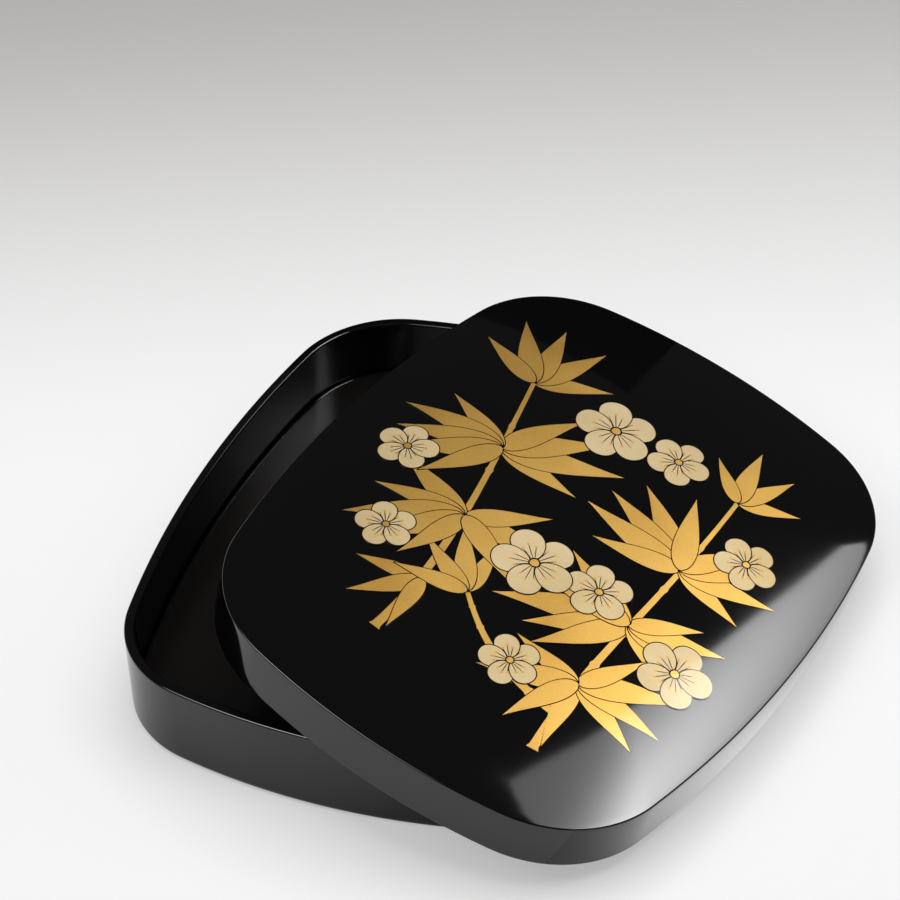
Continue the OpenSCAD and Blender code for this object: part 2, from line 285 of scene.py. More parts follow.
@dataclass(frozen=True)
class PatinatedBronze(Finish):
    """Cast bronze, boiled to a brown patina that thins to warm metal in cloudy patches."""

    colour: str = "#4a2f1c"
    bare_colour: str = "#8a5a34"
    roughness: float = 0.46
    bare_roughness: float = 0.3
    cloud_mm: float = 7.0

    def shade(self, tree: bpy.types.NodeTree, place: bpy.types.NodeSocket) -> bpy.types.Node:
        """Makes brown metal whose patches are brighter and smoother.

        Args:
            tree: The material's node tree.
            place: Where a point lies on the box, in metres.

        Returns:
            The surface shader.
        """
        cloud = add(tree, "ShaderNodeTexNoise", {
            "Vector": place, "Scale": per_metre(self.cloud_mm), "Detail": 5.0})
        share = add(tree, "ShaderNodeMapRange", {
            "Value": cloud.outputs["Fac"], "From Min": 0.42, "From Max": 0.72})
        tint = add(tree, "ShaderNodeMix", {
            SHARE: share.outputs["Result"], COLOUR_0: linear(self.colour),
            COLOUR_1: linear(self.bare_colour)}, data_type="RGBA")
        gloss = add(tree, "ShaderNodeMapRange", {
            "Value": share.outputs["Result"], "To Min": self.roughness,
            "To Max": self.bare_roughness})
        return add(tree, "ShaderNodeBsdfPrincipled", {
            "Base Color": tint.outputs[MIXED], "Metallic": 1.0, "Roughness": gloss.outputs["Result"]})


@dataclass(frozen=True)
class Fibres(Finish):
    """Something grown in long fibres that run along the box, such as bamboo, horn or hair."""

    colour: str = "#d8b878"
    streak_colour: str = "#b48c4c"
    roughness: float = 0.35
    sheen: float = 0.0
    fibre_mm: float = 0.6
    fibre_length_mm: float = 40.0
    relief_mm: float = 0.04

    def shade(self, tree: bpy.types.NodeTree, place: bpy.types.NodeSocket) -> bpy.types.Node:
        """Makes streaks that are long along Y and thin across it.

        Args:
            tree: The material's node tree.
            place: Where a point lies on the box, in metres.

        Returns:
            The surface shader.
        """
        across = per_metre(self.fibre_mm)
        stretched = add(tree, "ShaderNodeMapping", {
            "Vector": place, "Scale": (across, per_metre(self.fibre_length_mm), across)})
        streak = add(tree, "ShaderNodeTexNoise", {
            "Vector": stretched.outputs["Vector"], "Scale": 1.0, "Detail": 4.0})
        share = add(tree, "ShaderNodeMapRange", {
            "Value": streak.outputs["Fac"], "From Min": 0.35, "From Max": 0.7})
        tint = add(tree, "ShaderNodeMix", {
            SHARE: share.outputs["Result"], COLOUR_0: linear(self.colour),
            COLOUR_1: linear(self.streak_colour)}, data_type="RGBA")
        relief = add(tree, "ShaderNodeBump", {
            "Height": streak.outputs["Fac"], "Strength": 0.6, "Distance": self.relief_mm * MM})
        return add(tree, "ShaderNodeBsdfPrincipled", {
            "Base Color": tint.outputs[MIXED], "Roughness": self.roughness,
            "Sheen Weight": self.sheen, "Normal": relief.outputs["Normal"]})


@dataclass(frozen=True)
class MouldedInk(Finish):
    """Lamp soot and glue pressed in a wooden mould: black, and dull where wood grain printed."""

    colour: str = "#17171a"
    worn_colour: str = "#26252a"
    roughness: float = 0.42
    grain_mm: float = 1.4
    grain_relief_mm: float = 0.05

    def shade(self, tree: bpy.types.NodeTree, place: bpy.types.NodeSocket) -> bpy.types.Node:
        """Makes satin black with a faint printed grain.

        Args:
            tree: The material's node tree.
            place: Where a point lies on the box, in metres.

        Returns:
            The surface shader.
        """
        grain = add(tree, "ShaderNodeTexNoise", {
            "Vector": place, "Scale": per_metre(self.grain_mm), "Detail": 4.0})
        tint = add(tree, "ShaderNodeMix", {
            SHARE: grain.outputs["Fac"], COLOUR_0: linear(self.colour),
            COLOUR_1: linear(self.worn_colour)}, data_type="RGBA")
        relief = add(tree, "ShaderNodeBump", {
            "Height": grain.outputs["Fac"], "Strength": 0.4, "Distance": self.grain_relief_mm * MM})
        return add(tree, "ShaderNodeBsdfPrincipled", {
            "Base Color": tint.outputs[MIXED], "Roughness": self.roughness,
            "Normal": relief.outputs["Normal"]})


@dataclass(frozen=True)
class PaperSweep(Finish):
    """Matt white paper under lamps from both sides, whose shadows stay pale mostly through a painted glow of
    its own.

    It is as white as the lamps make it in front, and greyer the further it runs back, a painted shade for
    light falling off with distance. Where it is seen it glows a little by itself, a painted light in its own
    colour, and lacquer mirrors a share of that glow.
    """

    near_colour: str = "#f6f6f6"
    shaded_far_colour: str = "#b4b2b0"
    turn: float = 0.0
    near_mm: float = 60.0
    far_mm: float = 480.0
    roughness: float = 0.9
    # glow: the share of painted light, the paper's own glow where it is seen.
    glow: float = 0.45
    mirrored_share: float = 0.4

    def shade(self, tree: bpy.types.NodeTree, place: bpy.types.NodeSocket) -> bpy.types.Node:
        """Makes matt white that greys towards the back in painted shade and glows a little with painted
        light where it is seen.

        Args:
            tree: The material's node tree.
            place: Where a point lies on the box, in metres.

        Returns:
            The surface shader.
        """
        turned_place = add(tree, "ShaderNodeMapping", {
            "Vector": place, "Rotation": (0.0, 0.0, -self.turn)})
        away = add(tree, "ShaderNodeSeparateXYZ", {"Vector": turned_place.outputs["Vector"]})
        # Painted shade: the colour greys from near to far as if light fell off with distance.
        share = add(tree, "ShaderNodeMapRange", {
            "Value": away.outputs["Y"], "From Min": self.near_mm * MM,
            "From Max": self.far_mm * MM}, interpolation_type="SMOOTHSTEP")
        tint = add(tree, "ShaderNodeMix", {
            SHARE: share.outputs["Result"], COLOUR_0: linear(self.near_colour),
            COLOUR_1: linear(self.shaded_far_colour)}, data_type="RGBA")
        paper = add(tree, "ShaderNodeBsdfPrincipled", {
            "Base Color": tint.outputs[MIXED], "Roughness": self.roughness,
            "Specular IOR Level": 0.1})
        # Painted light: an emission in the paper's own colour, mixed in for camera rays and a share of
        # glossy rays, which keeps its shadows pale.
        painted_glow = add(tree, "ShaderNodeEmission", {"Color": tint.outputs[MIXED], "Strength": 1.0})
        ray = add(tree, "ShaderNodeLightPath")
        seen = add(tree, "ShaderNodeMath", {
            0: ray.outputs["Is Glossy Ray"], 1: self.mirrored_share,
            2: ray.outputs["Is Camera Ray"]}, operation="MULTIPLY_ADD")
        part = add(tree, "ShaderNodeMath", {
            0: seen.outputs["Value"], 1: self.glow}, operation="MULTIPLY")
        return add(tree, "ShaderNodeMixShader", {
            0: part.outputs["Value"], 1: paper.outputs[0], 2: painted_glow.outputs[0]})


@dataclass(frozen=True)
class SoftboxCloth(Finish):
    """White cloth of a softbox, with a long bright spot where the lamp behind it is near.

    The whole cloth glows dimly, and the spot adds its brightness to that.
    """

    spot: tuple[float, float, float]
    rotation: tuple[float, float, float]
    reach: tuple[float, float]
    dim: float
    bright: float

    def shade(self, tree: bpy.types.NodeTree, place: bpy.types.NodeSocket) -> bpy.types.Node:
        """Makes a glow that falls off smoothly all round the spot.

        Args:
            tree: The material's node tree.
            place: Where a point lies on the box, in metres.

        Returns:
            The surface shader.
        """
        from_spot = add(tree, "ShaderNodeMapping", {
            "Vector": place, "Location": self.spot, "Rotation": self.rotation,
            "Scale": (*self.reach, 1.0)}, vector_type="TEXTURE")
        off = from_spot.outputs["Vector"]
        squared = add(tree, "ShaderNodeVectorMath", {0: off, 1: off}, operation="DOT_PRODUCT")
        fall = add(tree, "ShaderNodeMath", {
            0: squared.outputs["Value"], 1: -1.0}, operation="MULTIPLY")
        share = add(tree, "ShaderNodeMath", {0: fall.outputs["Value"]}, operation="EXPONENT")
        strength = add(tree, "ShaderNodeMath", {
            0: share.outputs["Value"], 1: self.bright, 2: self.dim}, operation="MULTIPLY_ADD")
        return add(tree, "ShaderNodeEmission", {"Strength": strength.outputs["Value"]})


@dataclass(frozen=True)
class BlackCard(Finish):
    """Matt black card, which lacquer mirrors as darkness."""

    colour: str = "#141210"

    def shade(self, tree: bpy.types.NodeTree, place: bpy.types.NodeSocket) -> bpy.types.Node:
        """Makes dull black."""
        return add(tree, "ShaderNodeBsdfPrincipled", {
            "Base Color": linear(self.colour), "Roughness": 1.0, "Specular IOR Level": 0.0})


class Dress(Enum):
    """The finishes of the box and its contents."""

    LACQUER = PolishedLacquer("polished_black_urushi")
    LACQUER_INSIDE = PolishedLacquer(
        "rubbed_black_urushi", colour="#0d0b0a", warm_colour="#14110f", roughness=0.26,
        relief_mm=0.03)
    GOLD = SprinkledPowder("gold_powder_maki_e")
    PETAL = SprinkledPowder(
        "pale_gold_and_shell_powder", colour="#cfba92", thin_colour="#b59c68", metallic=0.3,
        roughness=0.5)
    DRAWN_LINE = PolishedLacquer(
        "drawn_brown_lacquer", colour="#1c140d", warm_colour="#2a1e12", roughness=0.09)
    SLATE = HonedStone("honed_slate")
    BRONZE = PatinatedBronze("patinated_bronze")
    BAMBOO = Fibres("polished_bamboo")
    HORN = Fibres(
        "polished_horn", colour="#1c1410", streak_colour="#3c2a1c", roughness=0.18,
        relief_mm=0.01)
    HAIR = Fibres(
        "goat_hair", colour="#efe8d6", streak_colour="#cdbf9e", roughness=0.75, sheen=0.35,
        fibre_mm=0.35, relief_mm=0.12)
    INK = MouldedInk("moulded_soot_ink")

    @property
    def material(self) -> bpy.types.Material:
        """The finish's material, made when it is first asked for."""
        return bpy.data.materials.get(self.value.name) or self.value.build()


# ---------------------------------------------------------------- meshes


def finish_mesh(
    bm: bmesh.types.BMesh, name: str, dress: Dress, place: Matrix | None = None,
) -> bpy.types.Object:
    """Turns a bmesh in millimetres into a smooth-shaded object at the origin, in metres.

    Args:
        bm: The shape, which is freed.
        name: The piece's name.
        dress: Its finish.
        place: Where the shape goes, in millimetres; left out, it stays where it is drawn.

    Returns:
        The new object.
    """
    bmesh.ops.transform(bm, matrix=Matrix.Scale(MM, 4) @ (place or Matrix.Identity(4)), verts=bm.verts)
    for face in bm.faces:
        face.smooth = True
    for edge in bm.edges:
        if len(edge.link_faces) == 2 and edge.calc_face_angle(0.0) > SHARP_ANGLE:
            edge.smooth = False
    mesh = bpy.data.meshes.new(name)
    bm.to_mesh(mesh)
    bm.free()
    mesh.materials.append(dress.material)
    piece = bpy.data.objects.new(name, mesh)
    bpy.context.scene.collection.objects.link(piece)
    return piece


def weigh_normals(piece: bpy.types.Object) -> None:
    """Lets broad faces keep their own direction, so that narrow rounded edges don't bend them.

    Args:
        piece: The piece, whose edges are already rounded.
    """
    weighted = piece.modifiers.new("weighted_normals", "WEIGHTED_NORMAL")
    weighted.keep_sharp = True
    weighted.weight = 100


def close_shell(bm: bmesh.types.BMesh) -> None:
    """Merges the doubled points of a shape and turns all its faces outwards."""
    bmesh.ops.remove_doubles(bm, verts=bm.verts, dist=MERGE_GAP)
    bmesh.ops.recalc_face_normals(bm, faces=bm.faces)


def edges_between(geometry: Iterable, verts: Iterable[bmesh.types.BMVert]) -> list[bmesh.types.BMEdge]:
    """The edges among some geometry whose two ends are both among the points."""
    ends = set(verts)
    return [g for g in geometry if isinstance(g, bmesh.types.BMEdge) and ends.issuperset(g.verts)]


def softened(node: str, radius: float, dress: Dress, name: str) -> bpy.types.Object:
    """Copies a CAD piece and rounds its edges.

    Args:
        node: The CAD node.
        radius: Radius of the rounding, in millimetres.
        dress: The finish.
        name: The new piece's name.

    Returns:
        The rounded copy, which stands for the node.
    """
    bm = bmesh.new()
    bm.from_mesh(bpy.data.objects[node].data)
    bmesh.ops.transform(bm, matrix=Matrix.Scale(1 / MM, 4), verts=bm.verts)
    close_shell(bm)
    bmesh.ops.dissolve_limit(bm, angle_limit=FLAT_ANGLE, verts=bm.verts, edges=bm.edges)
    piece = finish_mesh(bm, name, dress)
    rounding = piece.modifiers.new("edge_rounding", "BEVEL")
    rounding.width = radius * MM
    rounding.segments = 3
    rounding.limit_method = "ANGLE"
    rounding.angle_limit = SHARP_ANGLE
    rounding.use_clamp_overlap = True
    weigh_normals(piece)
    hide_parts(node)
    return piece


def turned(
    points: Iterable[tuple[float, float]], axis_x: float, axis_z: float, steps: int,
) -> bmesh.types.BMesh:
    """Spins a profile round an axis that lies along Y.

    Args:
        points: Profile as (distance from the axis, place along Y).
        axis_x: Place of the axis across the box.
        axis_z: Height of the axis.
        steps: Steps of the full turn.

    Returns:
        The closed shape.
    """
    bm = bmesh.new()
    verts = [bm.verts.new((axis_x + r, y, axis_z)) for r, y in points]
    edges = [bm.edges.new(pair) for pair in zip(verts, verts[1:])]
    bmesh.ops.spin(
        bm, geom=[*verts, *edges], cent=(axis_x, 0, axis_z), axis=(0, 1, 0), dvec=(0, 0, 0),
        angle=math.tau, steps=steps, use_merge=True, use_duplicate=False)
    close_shell(bm)
    return bm


# ---------------------------------------------------------------- the bowed outline


@dataclass(frozen=True)
class Arc:
    """One arc of an outline, its angles in radians."""

    centre: Vector
    radius: float
    start: float
    sweep: float
    steps: int


@dataclass
class BowedOutline:
    """Rectangle with bowed sides and rounded corners: four shallow arcs joined by corner arcs."""

    width: float
    length: float
    side_bow: float = 16.5
    end_bow: float = 17.0
    corner_radius: float = 43.5
    side_steps: int = 40
    corner_steps: int = 28
    end_steps: int = 34
    side_radius: float = field(init=False)
    end_radius: float = field(init=False)
    side_centre: Vector = field(init=False)
    end_centre: Vector = field(init=False)
    corner_centre: Vector = field(init=False)
    side_angle: float = field(init=False)
    end_angle: float = field(init=False)

    def __post_init__(self) -> None:
        """Works out the arcs' radii, centres and the angles where they meet."""
        half_w, half_l = self.width / 2, self.length / 2
        self.side_radius = (half_l**2 + self.side_bow**2) / (2 * self.side_bow)
        self.end_radius = (half_w**2 + self.end_bow**2) / (2 * self.end_bow)
        self.side_centre = Vector((half_w - self.side_radius, 0))
        self.end_centre = Vector((0, half_l - self.end_radius))
        side_reach = self.side_radius - self.corner_radius
        end_reach = self.end_radius - self.corner_radius
        gap = self.end_centre - self.side_centre
        along = (side_reach**2 - end_reach**2 + gap.length_squared) / (2 * gap.length)
        off = math.sqrt(side_reach**2 - along**2)
        unit = gap.normalized()
        foot = self.side_centre + unit * along
        normal = Vector((-unit.y, unit.x)) * off
        self.corner_centre = max(foot + normal, foot - normal, key=sum)
        to_side = self.corner_centre - self.side_centre
        to_end = self.corner_centre - self.end_centre
        self.side_angle = math.atan2(to_side.y, to_side.x)
        self.end_angle = math.atan2(to_end.y, to_end.x)

    def arcs(self) -> list[Arc]:
        """The eight arcs, anticlockwise from the near end of the right side.

        Returns:
            The arcs, each starting where the one before it ends.
        """
        side, end, corner = self.side_centre, self.end_centre, self.corner_centre
        made = []
        for half in range(2):
            turn, sign = half * math.pi, 1 - 2 * half
            bend = self.end_angle - self.side_angle
            far = Vector((-sign * corner.x, sign * corner.y))
            across, along = 2 * self.side_angle, math.pi - 2 * self.end_angle
            made += [
                Arc(sign * side, self.side_radius, turn - across / 2, across, self.side_steps),
                Arc(sign * corner, self.corner_radius, turn + across / 2, bend, self.corner_steps),
                Arc(sign * end, self.end_radius, turn + self.end_angle, along, self.end_steps),
                Arc(far, self.corner_radius, turn + self.end_angle + along, bend, self.corner_steps)]
        return made

    def start_point(self, grow: float, height: float) -> Vector:
        """The point where the sweep starts.

        Args:
            grow: How far outside the outline.
            height: Its height.

        Returns:
            The point.
        """
        first = self.arcs()[0]
        reach = first.radius + grow
        return Vector((first.centre.x + reach * math.cos(first.start),
                       first.centre.y + reach * math.sin(first.start), height))

    def sweep(self, bm: bmesh.types.BMesh, geometry: list) -> None:
        """Carries points or edges at the sweep's start all round the outline.

        Args:
            bm: The shape that they belong to.
            geometry: The points and edges.
        """
        for arc in self.arcs():
            swept = bmesh.ops.spin(
                bm, geom=geometry, cent=(arc.centre.x, arc.centre.y, 0), axis=(0, 0, 1), dvec=(0, 0, 0),
                angle=arc.sweep, steps=arc.steps, use_merge=False, use_duplicate=False)
            geometry = swept["geom_last"]

    def ring(self, bm: bmesh.types.BMesh, grow: float, height: float) -> list[bmesh.types.BMEdge]:
        """Draws the outline as a closed loop of edges.

        Args:
            bm: The shape to draw it in.
            grow: How far outside the box wall.
            height: Its height.

        Returns:
            The loop's edges.
        """
        before = set(bm.edges)
        first = bm.verts.new(self.start_point(grow, height))
        self.sweep(bm, [first])
        loop = dict.fromkeys(v for e in bm.edges if e not in before for v in e.verts)
        bmesh.ops.remove_doubles(bm, verts=list(loop), dist=MERGE_GAP)
        return [e for e in bm.edges if e not in before]

    def beyond(self, point: Vector) -> float:
        """How far outside the outline a point lies.

        Args:
            point: A point on the table's plane.

        Returns:
            Its distance, negative inside the outline.
        """
        folded = Vector((abs(point.x), abs(point.y)))
        to_side, to_end = folded - self.side_centre, folded - self.end_centre
        if math.atan2(to_side.y, to_side.x) < self.side_angle:
            return to_side.length - self.side_radius
        if math.atan2(to_end.y, to_end.x) > self.end_angle:
            return to_end.length - self.end_radius
        return (folded - self.corner_centre).length - self.corner_radius

    def reach(self, angle: float, grow: float) -> float:
        """How far the outline reaches from its middle in one direction.

        Args:
            angle: The direction, in radians.
            grow: How far outside the box wall the outline lies.

        Returns:
            How far its farthest point lies along that direction.
        """
        folded = math.atan2(abs(math.sin(angle)), abs(math.cos(angle)))
        unit = Vector((math.cos(folded), math.sin(folded)))
        if folded < self.side_angle:
            return self.side_centre.dot(unit) + self.side_radius + grow
        if folded > self.end_angle:
            return self.end_centre.dot(unit) + self.end_radius + grow
        return self.corner_centre.dot(unit) + self.corner_radius + grow

    def share(self, x: float, y: float, grow: float) -> float:
        """How far out a point lies: 0 in the middle, 1 on the outline.

        Args:
            x: Place across.
            y: Place along.
            grow: How far outside the box wall the outline lies.

        Returns:
            The share of the way from the middle to the outline.
        """
        distance = math.hypot(x, y)
        if distance < MERGE_GAP:
            return 0.0
        unit = Vector((abs(x), abs(y))) / distance
        hits = []
        for centre, radius in ((self.side_centre, self.side_radius), (self.end_centre, self.end_radius),
                               (self.corner_centre, self.corner_radius)):
            along = unit.dot(centre)
            inside = along**2 - centre.length_squared + (radius + grow) ** 2
            if inside > 0:
                hit = unit * (along + math.sqrt(inside))
                hits.append((abs(self.beyond(hit) - grow), hit.length))
        return distance / min(hits)[1]

    def points(self, grow: float, steps: int) -> list[Vector]:
        """Points anticlockwise along the outline, so far outside it, with so many steps on each arc."""
        return [arc.centre + (arc.radius + grow) * Vector((math.cos(a), math.sin(a)))
                for arc in self.arcs() for a in (arc.start + arc.sweep * i / steps for i in range(steps))]


@dataclass
class Corner:
    """A corner of a wall's section: how far outside the outline, how high, and how round."""

    grow: float
    height: float
    radius: float = 0.0


def swept_wall(outline: BowedOutline, corners: list[Corner]) -> bmesh.types.BMesh:
    """Sweeps a wall's section round the outline.

    Args:
        outline: The outline.
        corners: The section's corners in order.

    Returns:
        The closed wall.
    """
    bm = bmesh.new()
    verts = [bm.verts.new(outline.start_point(c.grow, c.height)) for c in corners]
    bm.faces.new(verts)
    for corner, vert in zip(corners, verts):
        if corner.radius:
            bmesh.ops.bevel(
                bm, geom=[vert], offset=corner.radius, offset_type="OFFSET", segments=6, profile=0.5,
                affect="VERTICES", material=-1, clamp_overlap=False)
    bmesh.ops.delete(bm, geom=bm.faces[:], context="FACES_ONLY")
    outline.sweep(bm, [*bm.verts, *bm.edges])
    close_shell(bm)
    return bm


# ---------------------------------------------------------------- box and board


@dataclass
class BoxBody:
    """The open box: its bowed wall and its fixed floor."""

    outline: BowedOutline
    height: float
    wall: float = 3.8
    foot_round: float = 2.8
    rim_round: float = 1.0

    def build(self) -> list[bpy.types.Object]:
        """Makes the wall and dresses the floor.

        Returns:
            The new wall.
        """
        bm = swept_wall(self.outline, [
            Corner(0, 0, self.foot_round), Corner(0, self.height, self.rim_round),
            Corner(-self.wall, self.height, self.rim_round), Corner(-self.wall, 0)])
        wall = finish_mesh(bm, "lacquered_wall", Dress.LACQUER)
        weigh_normals(wall)
        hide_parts("box_wall")
        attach(wall, "box")
        dress_node("box_floor", Dress.LACQUER_INSIDE)
        return [wall]


def dress_node(node: str, dress: Dress) -> None:
    """Gives a CAD node its finish.

    Args:
        node: The CAD node.
        dress: Its finish.
    """
    mesh = bpy.data.objects[node].data
    mesh.materials.clear()
    mesh.materials.append(dress.material)


@dataclass(frozen=True)
class Fitting:
    """A plain piece whose CAD shape is right but for its rounded edges."""

    node: str
    name: str
    body: str
    slot: str
    dress: Dress
    radius: float

    def build(self) -> bpy.types.Object:
        """Makes the rounded piece and lets it ride with its body.

        Returns:
            The new piece.
        """
        piece = softened(self.node, self.radius, self.dress, self.name)
        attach(piece, self.body)
        return piece


FITTINGS = (
    Fitting("base_board", "loose_board", "base_board", "lacquer_inside", Dress.LACQUER_INSIDE, 0.5),
    Fitting("board_batten_left", "left_batten", "base_board", "lacquer_inside", Dress.LACQUER_INSIDE, 0.3),
    Fitting("board_batten_right", "right_batten", "base_board", "lacquer_inside", Dress.LACQUER_INSIDE, 0.3),
    Fitting("brush_rest_front", "front_rest", "base_board", "lacquer_inside", Dress.LACQUER_INSIDE, 0.4),
    Fitting("brush_rest_back", "back_rest", "base_board", "lacquer_inside", Dress.LACQUER_INSIDE, 0.4),
    Fitting("inkstone", "slate_inkstone", "inkstone", "slate", Dress.SLATE, 0.7),
    Fitting("dropper_cup", "dropper_body", "water_dropper", "bronze", Dress.BRONZE, 0.3),
    Fitting("dropper_top", "dropper_plate", "water_dropper", "bronze", Dress.BRONZE, 0.25),
    Fitting("ink_stick", "ink_cake", "ink_stick", "ink", Dress.INK, 0.8),
)


@dataclass
class BoardBead:
    """The raised lacquer line where the loose board meets the wall."""

    outline: BowedOutline
    wall: float
    board_gap: float = 0.6
    set_back: float = 0.05
    width: float = 1.1
    rise: float = 0.35
    sink: float = 0.6
    edge_steps: int = 8

    def build(self) -> bpy.types.Object:
        """Makes the bead along the board's edge.

        Returns:
            The bead, riding on the board.
        """
        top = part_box("base_board")[1].z / MM
        outer = -self.wall - self.board_gap - self.set_back
        corners = [Corner(outer - self.width, top - self.sink), Corner(outer, top - self.sink)]
        for step in range(self.edge_steps + 1):
            angle = math.pi * step / self.edge_steps
            corners.append(Corner(
                outer - self.width / 2 * (1 - math.cos(angle)), top + self.rise * math.sin(angle)))
        bead = finish_mesh(swept_wall(self.outline, corners), "board_bead", Dress.LACQUER)
        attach(bead, "base_board")
        return bead


# ---------------------------------------------------------------- brushes


@dataclass
class Brush:
    """A bamboo brush that lies along the box: handle, horn collar and a tuft of hair."""

    kind: str
    tuft_ridges: int
    bore: float = 1.4
    bore_depth: float = 12.0
    collar_wall: float = 0.7
    turn_steps: int = 64

    def span(self, part: str) -> tuple[float, float, float, float, float]:
        """Reads a part's axis X, axis Z, radius, start and end along Y from its CAD node."""
        low, high = (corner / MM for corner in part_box(f"{self.kind}_brush_{part}"))
        return (low.x + high.x) / 2, (low.z + high.z) / 2, (high.x - low.x) / 2, low.y, high.y

    def place(self, bm: bmesh.types.BMesh, part: str, slot: str, dress: Dress) -> bpy.types.Object:
        """Finishes one part of the brush, which stands for its CAD node.

        Args:
            bm: The part's shape.
            part: handle, collar or hair.
            slot: The slot that its colour belongs to; not used.
            dress: Its finish.

        Returns:
            The part, riding on its brush.
        """
        piece = finish_mesh(bm, f"{self.kind}_{part}", dress)
        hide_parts(f"{self.kind}_brush_{part}")
        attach(piece, f"{self.kind}_brush")
        return piece

    def handle(self) -> bpy.types.Object:
        """Makes the bamboo tube with its open top end and two faint growth rings.

        Returns:
            The handle.
        """
        x, z, radius, start, end = self.span("handle")
        chamfer, ring, ring_width, ring_shares = 0.5, 0.18, 1.1, (0.22, 0.74)
        points = [
            (0, start + self.bore_depth), (self.bore, start + self.bore_depth),
            (self.bore, start + chamfer / 2), (self.bore + chamfer / 2, start),
            (radius - chamfer, start), (radius - ring, start + chamfer)]
        for share in ring_shares:
            knot = start + share * (end - start)
            points += [(radius - ring, knot - ring_width), (radius, knot - ring_width / 4),
                       (radius, knot + ring_width / 4), (radius - ring, knot + ring_width)]
        points += [(radius - ring, end), (0, end)]
        return self.place(turned(points, x, z, self.turn_steps), "handle", "bamboo", Dress.BAMBOO)

    def collar(self) -> bpy.types.Object:
        """Makes the horn collar with its two turned grooves.

        Returns:
            The collar.
        """
        x, z, radius, start, end = self.span("collar")
        inner, edge, groove, groove_shares = radius - self.collar_wall, 0.35, 0.25, (0.2, 0.8)
        points = [(inner, start), (radius - edge, start), (radius, start + edge)]
        for share in groove_shares:
            middle = start + share * (end - start)
            points += [(radius, middle - groove), (radius - groove, middle), (radius, middle + groove)]
        points += [(radius, end - edge), (radius - edge, end), (inner - edge, end), (0, end)]
        back = [(0, start + (end - start) / 3), (inner, start + (end - start) / 3)]
        return self.place(turned([*back, *points], x, z, self.turn_steps), "collar", "horn", Dress.HORN)

    def tuft(self) -> bpy.types.Object:
        """Makes the hair: a full curve to a point, parted in fine locks that close at the tip.

        Returns:
            The tuft.
        """
        x, z, radius, start, end = self.span("hair")
        rows, tip = 22, 0.06
        lock_steps, lock_depth, wander_reach, wander_rate = 4, 0.3, 2.5, 3
        shares = [i / rows for i in range(rows + 1)]
        curve = [(max(radius * (1 - s**2), tip), start + s * (end - start)) for s in shares]
        points = [(0, start), *curve, (0, end)]
        bm = turned(points, x, z, self.tuft_ridges * lock_steps)
        for vert in bm.verts:
            off = Vector((vert.co.x - x, vert.co.z - z))
            share = (vert.co.y - start) / (end - start)
            wander = wander_reach * math.sin(wander_rate * share)
            lock = 0.5 + 0.5 * math.cos(self.tuft_ridges * math.atan2(off.y, off.x) + wander)
            depth = 1 - lock * lock_depth * math.sin(math.pi * min(share, 1)) / max(radius, 1)
            vert.co.x, vert.co.z = x + off.x * depth, z + off.y * depth
        return self.place(bm, "hair", "hair", Dress.HAIR)

    def build(self) -> list[bpy.types.Object]:
        """Makes the brush's three parts."""
        return [self.handle(), self.collar(), self.tuft()]


# ---------------------------------------------------------------- lid


@dataclass
class LeaningPlace:
    """Where the lid lies: on two points of the box's rim and on the table."""

    outline: BowedOutline
    box_height: float
    inner_grow: float
    outer_grow: float
    turn: float = math.radians(-11.9)
    shift: Vector = field(default_factory=lambda: Vector((51.6, -5.4)))
    rest_gap: float = 0.12
    fine_steps: int = 60

    def crossings(self) -> tuple[Vector, Vector]:
        """Where the skirt's inner edge crosses the box's outline.

        Returns:
            The near and the far crossing.
        """
        turn = Matrix.Rotation(self.turn, 2)
        edge = [turn @ p + self.shift for p in self.outline.points(self.inner_grow, self.fine_steps)]
        found = []
        for p, q in zip(edge, edge[1:] + edge[:1]):
            a, b = self.outline.beyond(p), self.outline.beyond(q)
            if a * b < 0:
                found.append(p + (q - p) * a / (a - b))
        near, far = sorted(found, key=lambda p: p.y)
        return near, far

    def matrix(self) -> Matrix:
        """The move from the level lid's own place to its leaning place, in millimetres.

        Returns:
            A 4x4 matrix.
        """
        near, far = self.crossings()
        along = (far - near).normalized()
        down = Vector((along.y, -along.x))
        run = (self.shift - near).dot(down) + self.outline.reach(
            math.atan2(down.y, down.x) - self.turn, self.outer_grow)
        tilt = math.asin(self.box_height / run)
        hinge = Vector((near.x, near.y, self.box_height + self.rest_gap))
        offset = Vector((self.shift.x - near.x, self.shift.y - near.y, 0))
        lean = Matrix.Rotation(tilt, 4, along.to_3d())
        spin = Matrix.Rotation(self.turn, 4, "Z")
        return Matrix.Translation(hinge) @ lean @ Matrix.Translation(offset) @ spin


